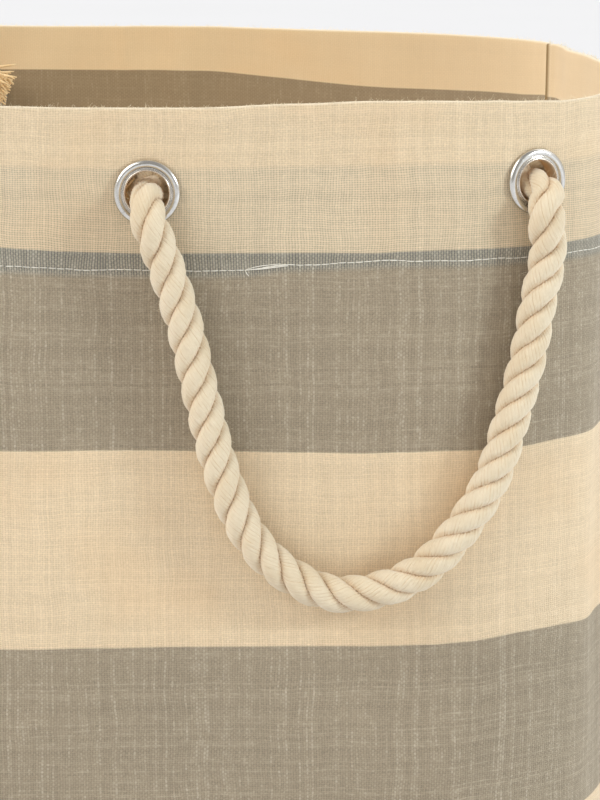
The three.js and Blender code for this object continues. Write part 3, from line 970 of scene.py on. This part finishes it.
# ---- base ----
def make_base():
    """The bottom cloth, softly rippled above and flat on the floor below."""
    columns, rings = 160, 24
    s = np.arange(columns) * GIRTH / columns
    edge = outline(s, np.zeros(columns)) * 0.995
    top = [np.array([[0, 0, BASE_THICK]])]
    for k in range(1, rings + 1):
        share = k / rings
        ripple = soft_noise(s, np.full(columns, share * 0.3), 60 * MM, 5) * math.sin(math.pi * share)
        top.append(np.column_stack([edge * share, BASE_THICK + np.maximum(0, ripple) * 0.5 * MM]))
    top = np.vstack(top)
    n, last = len(top), len(top) - columns
    faces = [(0, 1 + j, 1 + (j + 1) % columns) for j in range(columns)]
    faces += [face[::-1] for face in grid_faces(rings, columns, 1, close_columns=True)]
    under = [tuple(i + n for i in face[::-1]) for face in faces]
    pairs = [(last + j, last + (j + 1) % columns) for j in range(columns)]
    rim = [(b, a, a + n, b + n) for a, b in pairs]
    vertices = np.vstack([top, top * np.array([1, 1, 0])])
    maps = canvas_maps(vertices[:, :2] + [0, BASE_STRIPES_AT])
    return mesh_object("base_cloth", vertices, faces + under + rim, CANVAS, maps)


# How far up the striped cloth the middle of the base is cut from.
BASE_STRIPES_AT = 205.5 * MM
on_bag(make_base(), "base_panel")

# The binding's section, off the wall and up, and the seam allowances' section, along and off the wall.
BINDING = [(-1, 2.2), (-1, 6), (-1.1, 10.4), (-1.9, 11), (-2.5, 10.2), (-2.7, 6), (-2.6, 2.4), (-1.8, 2.0)]
ALLOWANCE = [
    (-4.6, -1.1), (-2, -1.35), (1, -1.6), (4.2, -1.5), (4.7, -1.8), (4.2, -2.5), (1, -3.0), (-2, -2.8),
    (-4.6, -2.2),
]


def make_binding():
    """The tape round the foot of the wall, inside the bag."""
    count, m = 240, len(BINDING)
    s = np.repeat(np.arange(count) * GIRTH / count, m)
    off, height = np.tile(np.array(BINDING).T * MM, count)
    across = np.tile(run_along(np.array(BINDING) * MM), count)
    faces = [face[::-1] for face in grid_faces(count, m, close_rows=True, close_columns=True)]
    maps = {"cloth": np.column_stack([s, across])}
    return mesh_object("base_seam_binding", cloth(s, height, off), faces, TAPE, maps)


def make_seam(name, at):
    """The two seam allowances, pressed to one side inside the bag."""
    rows, m = 90, len(ALLOWANCE)
    z = np.repeat(np.linspace(13 * MM, HEIGHT - HEM_DEPTH - 2 * MM, rows), m)
    across, off = np.tile(np.array(ALLOWANCE).T * MM, rows)
    faces = [face[::-1] for face in tube_faces(rows, m)]
    maps = canvas_maps(np.column_stack([at + across, z]))
    return mesh_object(name, cloth(at + across, z, off), faces, CANVAS, maps)


on_bag(make_binding(), "base_binding")
for name, at in zip(("right", "left"), SEAMS):
    on_bag(make_seam(f"{name}_seam_allowance", at), f"{name}_side_seam")


# ---- eyelets and washers ----
FLANGE = [
    (11.35, 0.0), (11.45, 0.55), (11.2, 1.25), (10.5, 1.8), (9.6, 1.85), (8.95, 1.5), (8.6, 0.8), (8.3, 0.75),
    (8.1, 1.25), (7.8, 1.5), (7.5, 1.3), (7.3, 0.7), (7.3, -2), (7.35, -5.4), (7.9, -5.4), (7.9, -0.4),
    (10.8, -0.3),
]
WASHER = [
    (11.7, -3.3), (11.75, -3.7), (11.2, -4.3), (10, -4.6), (9.2, -4.5), (8.9, -4.9), (8.3, -5.2),
    (8.15, -4.2),
    (8.2, -3.3),
]


def lathe(name, place, profile, segments=72):
    """A ring turned from a closed profile of (radius, height off the wall) pairs in millimetres."""
    profile = np.array(profile, float)
    radius, height = np.tile(profile.T, segments)
    a = np.repeat(2 * math.pi * np.arange(segments) / segments, len(profile))
    points = np.column_stack([radius * np.cos(a), radius * np.sin(a), height])
    depth = smooth((8.6 - radius) / 1.4) * (0.45 + 0.55 * smooth((1.2 - height) / 1.2))
    faces = grid_faces(segments, len(profile), close_rows=True, close_columns=True)
    vectors = {"depth": np.column_stack([depth, 0 * depth, 0 * depth])}
    ring = mesh_object(name, local(place, points), faces, NICKEL, attributes=vectors)
    rounder = ring.modifiers.new("round", "SUBSURF")
    rounder.levels = rounder.render_levels = 1
    apply_modifiers(ring)
    return ring


for place_name in ("front", "back"):
    for side in ("left", "right"):
        place = eyelet_place(side, place_name == "back")
        name = f"{place_name}_{side}"
        on_bag(lathe(f"{name}_eyelet_ring", place, FLANGE), f"{name}_eyelet")
        on_bag(lathe(f"{name}_washer_ring", place, WASHER), f"{name}_washer")


# ---- stitching ----
PITCH = 2.9 * MM


def stitch_run(off, radius, lift):
    """Stitches round the hem, a little above its raw edge: short threads that dip in at their ends."""
    parts = []
    dip = lift * np.sin(np.linspace(0, math.pi, 6)) ** 0.5
    for start in np.arange(0, GIRTH - PITCH / 2, PITCH):
        s = np.linspace(start, start + PITCH * 0.9, 6)
        above = 2.1 + 0.12 * np.sin(s * 160) + 0.1 * np.sin(s * 343 + 1) + RANDOM.gauss(0, 0.05)
        height = HEIGHT - HEM_DEPTH + along_girth(s, HEM_WAVE) + above * MM
        parts.append(thread(cloth(s, height, off + dip), radius * RANDOM.uniform(0.85, 1.15)))
    return parts


outer = stitch_run(-0.05 * MM, 0.17 * MM, 0.2 * MM)
inner = stitch_run(-3.1 * MM, 0.19 * MM, -0.3 * MM)
# Where the hem's stitching ends, a few stitches are sewn over each other, with a loose end.
BACK_TACK = [
    ((81.2, 86, 91, 96.5), (443.3, 443.9, 444.7, 445.3), 0.19),
    ((81.6, 85, 89, 93.5), (443.6, 444.5, 445.1, 445.5), 0.16),
    ((83.5, 88, 92, 96), (443.5, 443.9, 444.4, 444.9), 0.19),
    ((81.3, 81.6, 82.1, 82.6), (443.3, 442.7, 442.0, 441.4), 0.17),
]
overlap = [
    thread(spline(cloth(np.array(s) * MM, np.array(height) * MM, 0.22 * MM), 1.5 * MM), radius * MM)
    for s, height, radius in BACK_TACK
]
on_bag(mesh_object("hem_stitches", *joined(outer + inner + overlap), THREAD))


def seam_stitches():
    """Slanting stitches through the seam allowances, and the stitches that hold the binding."""
    parts = []
    for at in SEAMS:
        for z in np.arange(16 * MM, HEIGHT - HEM_DEPTH - 6 * MM, 3.2 * MM):
            zig, rise, off = np.array([(-3.4, -0.4, 4.6), (0, 0.6, 1.6), (-3.0, -3.2, -2.4)]) * MM
            parts.append(thread(spline(cloth(at + zig, z + rise, off), 1.2 * MM), 0.17 * MM, sides=5))
    for start in np.arange(0, GIRTH - 1.6 * MM, 3.4 * MM):
        s = np.linspace(start, start + 2.8 * MM, 4)
        off = np.array([-2.5, -2.9, -2.9, -2.5]) * MM
        parts.append(thread(cloth(s, 8.6 * MM, off), 0.18 * MM, sides=5))
    return joined(parts)


on_bag(mesh_object("seam_stitches", *seam_stitches(), THREAD))


# ---- lint along the rim ----
def rim_lint():
    """Loose fibres along the fold, and broken warp ends along the raw edge of the hem."""
    parts = []
    for _ in range(2600):
        s = RANDOM.uniform(0, GIRTH)
        over = RANDOM.uniform(-1.2, 0.6)
        foot = cloth(s, HEIGHT - max(0, over) * MM, over * 0.6 * MM)[0]
        lean = np.array([RANDOM.gauss(0, 1), RANDOM.gauss(0, 1), abs(RANDOM.gauss(0.4, 0.7))])
        lean /= np.linalg.norm(lean)
        length = RANDOM.uniform(0.4, 1.5) * MM
        curl = np.array([RANDOM.gauss(0, 1) for _ in range(3)]) * 0.35
        points = [foot + (lean + curl * t) * length * t for t in (-0.2, 0.3, 0.65, 1)]
        parts.append(thread(points, 0.04 * MM, sides=3))
    steps = np.array([0, 0.4, 0.75, 1])
    for _ in range(700):
        s = RANDOM.uniform(0, GIRTH)
        top = HEIGHT - HEM_DEPTH + along_girth(np.array([s]), HEM_WAVE)[0] + 1.0 * MM
        length = RANDOM.uniform(2.0, 4.5) * MM
        along = s + RANDOM.gauss(0, 0.5) * MM * steps
        points = cloth(along, top - length * steps, (-2.9 + 0.8 * steps) * MM)
        parts.append(thread(points, 0.12 * MM, sides=4))
    return joined(parts)


on_bag(mesh_object("rim_lint", *rim_lint(), LINT))


# ---- floor, backdrop and light ----
def make_floor():
    """A plain pale floor, 28 m square."""
    r = Recipe("pale_floor")
    colour = r.mix(r.noise(r.coordinates(), 3.0), linear(210, 212, 217), linear(212, 214, 219))
    corners = [(-14, -14, 0), (14, -14, 0), (14, 14, 0), (-14, 14, 0)]
    mesh_object("floor", corners, [(0, 1, 2, 3)], r.finish(colour, 0.9))


make_floor()


def compass(azimuth, elevation):
    """The direction of azimuth (0 is in front of the bag, 90 at its right) and elevation, in degrees."""
    a, e = math.radians(azimuth), math.radians(elevation)
    return Vector((math.sin(a) * math.cos(e), -math.cos(a) * math.cos(e), math.sin(e)))


def add_lamp(name, kind, eye, target, energy, colour, **settings):
    """A light at eye that faces target. An area light isn't seen itself."""
    lamp = bpy.data.objects.new(name, bpy.data.lights.new(name, kind))
    lamp.data.energy, lamp.data.color = energy, colour
    for key, value in settings.items():
        setattr(lamp.data, key, value)
    aim(lamp, eye, target)
    lamp.visible_camera = kind == "SUN"
    bpy.context.scene.collection.objects.link(lamp)


# A broad window at the left and a soft box at the right of the front handle. The last lamp stands for the
# light that the thin walls let into the bag: it lies low inside and faces up.
FRONT_HANDLE = Vector((0.1, -0.157, 0.38))
SOFTBOX_AT = FRONT_HANDLE + compass(66, 20) * 3.4
add_lamp("left_window", "SUN", compass(-60, 38), (0, 0, 0), 1.90, (1.0, 0.99, 0.97), angle=math.radians(50))
add_lamp("right_softbox", "AREA", SOFTBOX_AT, FRONT_HANDLE, 54, (0.84, 0.94, 1.0), size=0.7)
add_lamp("inner_glow", "AREA", (0, 0, 0.27), (0, 0.001, 1), 0.34, (1.0, 0.97, 0.92),
         shape="RECTANGLE", size=0.34, size_y=0.22)


def make_world():
    """Studio fill, brighter at both sides than in front, and overhead. The backdrop is a flat pale grey."""
    world = bpy.data.worlds.new("studio")
    world.use_nodes = True
    bpy.context.scene.world = world
    n = Nodes(world.node_tree)
    x, y, z = n.split(n.coordinates("Generated"))
    sides = n.ramp(abs(x), 0.3, 0.85, 0.41, 0.79)
    overhead = n.ramp(z, 0.3, 0.7, 0.0, 1.5) * n.ramp(y, -0.1, 0.35)
    fill = n.node("ShaderNodeBackground", {"Color": (1, 0.975, 0.93, 1), "Strength": sides + overhead})
    backdrop = n.node("ShaderNodeBackground", {"Color": linear(242, 242, 242)})
    seen = n.node("ShaderNodeLightPath", output="Is Camera Ray")
    surface = n.node("ShaderNodeMixShader", {0: seen, 1: fill, 2: backdrop})
    n.node("ShaderNodeOutputWorld", {"Surface": surface})


make_world()
bpy.context.scene.view_settings.view_transform = "Standard"
